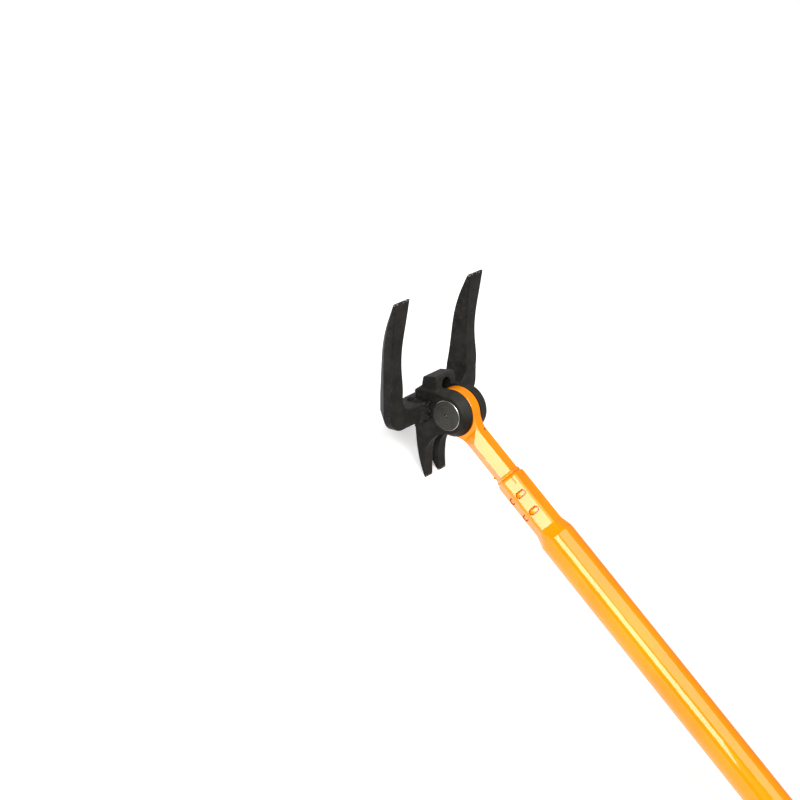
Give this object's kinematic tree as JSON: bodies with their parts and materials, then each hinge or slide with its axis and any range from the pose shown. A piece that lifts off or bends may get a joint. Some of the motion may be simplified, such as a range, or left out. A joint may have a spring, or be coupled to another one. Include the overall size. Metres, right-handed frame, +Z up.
{
  "type": "pivoting head pry bar",
  "caption": "Long tubular pry bar with a pivoting head: two upright tines, a striking bridge and a slotted nail claw on one large pin.",
  "frame": {"origin": "centre of the bounding box's base, at floor level under the tool as it stands on its claw tips and end cap", "axes": "+X from the head to the far end of the handle, level with the floor; +Y along the pivot pin; +Z up"},
  "size_m": [1.136, 0.1376, 0.1385],
  "materials": {
    "black_head_paint": "matt black over forged steel, worn at the tips",
    "black_weld": "rippled weld bead under matt black paint",
    "pin_steel": "turned steel, darkened face with a bright chamfer",
    "spring_steel": "rolled spring steel",
    "bronze": "plain bearing bronze",
    "orange_paint": "glossy orange enamel",
    "orange_weld": "weld metal under glossy orange enamel",
    "grip_rubber": "ribbed black rubber",
    "cap_plastic": "moulded black plastic"
  },
  "bodies": {
    "handle": {"eye_shank": "orange_paint", "eye_bush": "bronze", "handle_tube": "orange_paint", "mouth_weld": "orange_weld", "plug_welds": "orange_weld", "grip_sleeve": "grip_rubber", "end_cap": "cap_plastic"},
    "head": {"head_body": "black_head_paint", "pivot_pin": "pin_steel", "pin_lock": "spring_steel", "right_thrust_washer": "bronze", "left_thrust_washer": "bronze", "right_tine": "black_head_paint", "left_tine": "black_head_paint", "right_tine_weld": "black_weld", "left_tine_weld": "black_weld"}
  },
  "joints": [
    {"name": "head_pivot", "type": "hinge", "parent": "handle", "child": "head", "pos_m": [-0.48181, 0, 0.06356], "axis": [0, 1, 0], "range_deg": [-36, 132]}
  ]
}
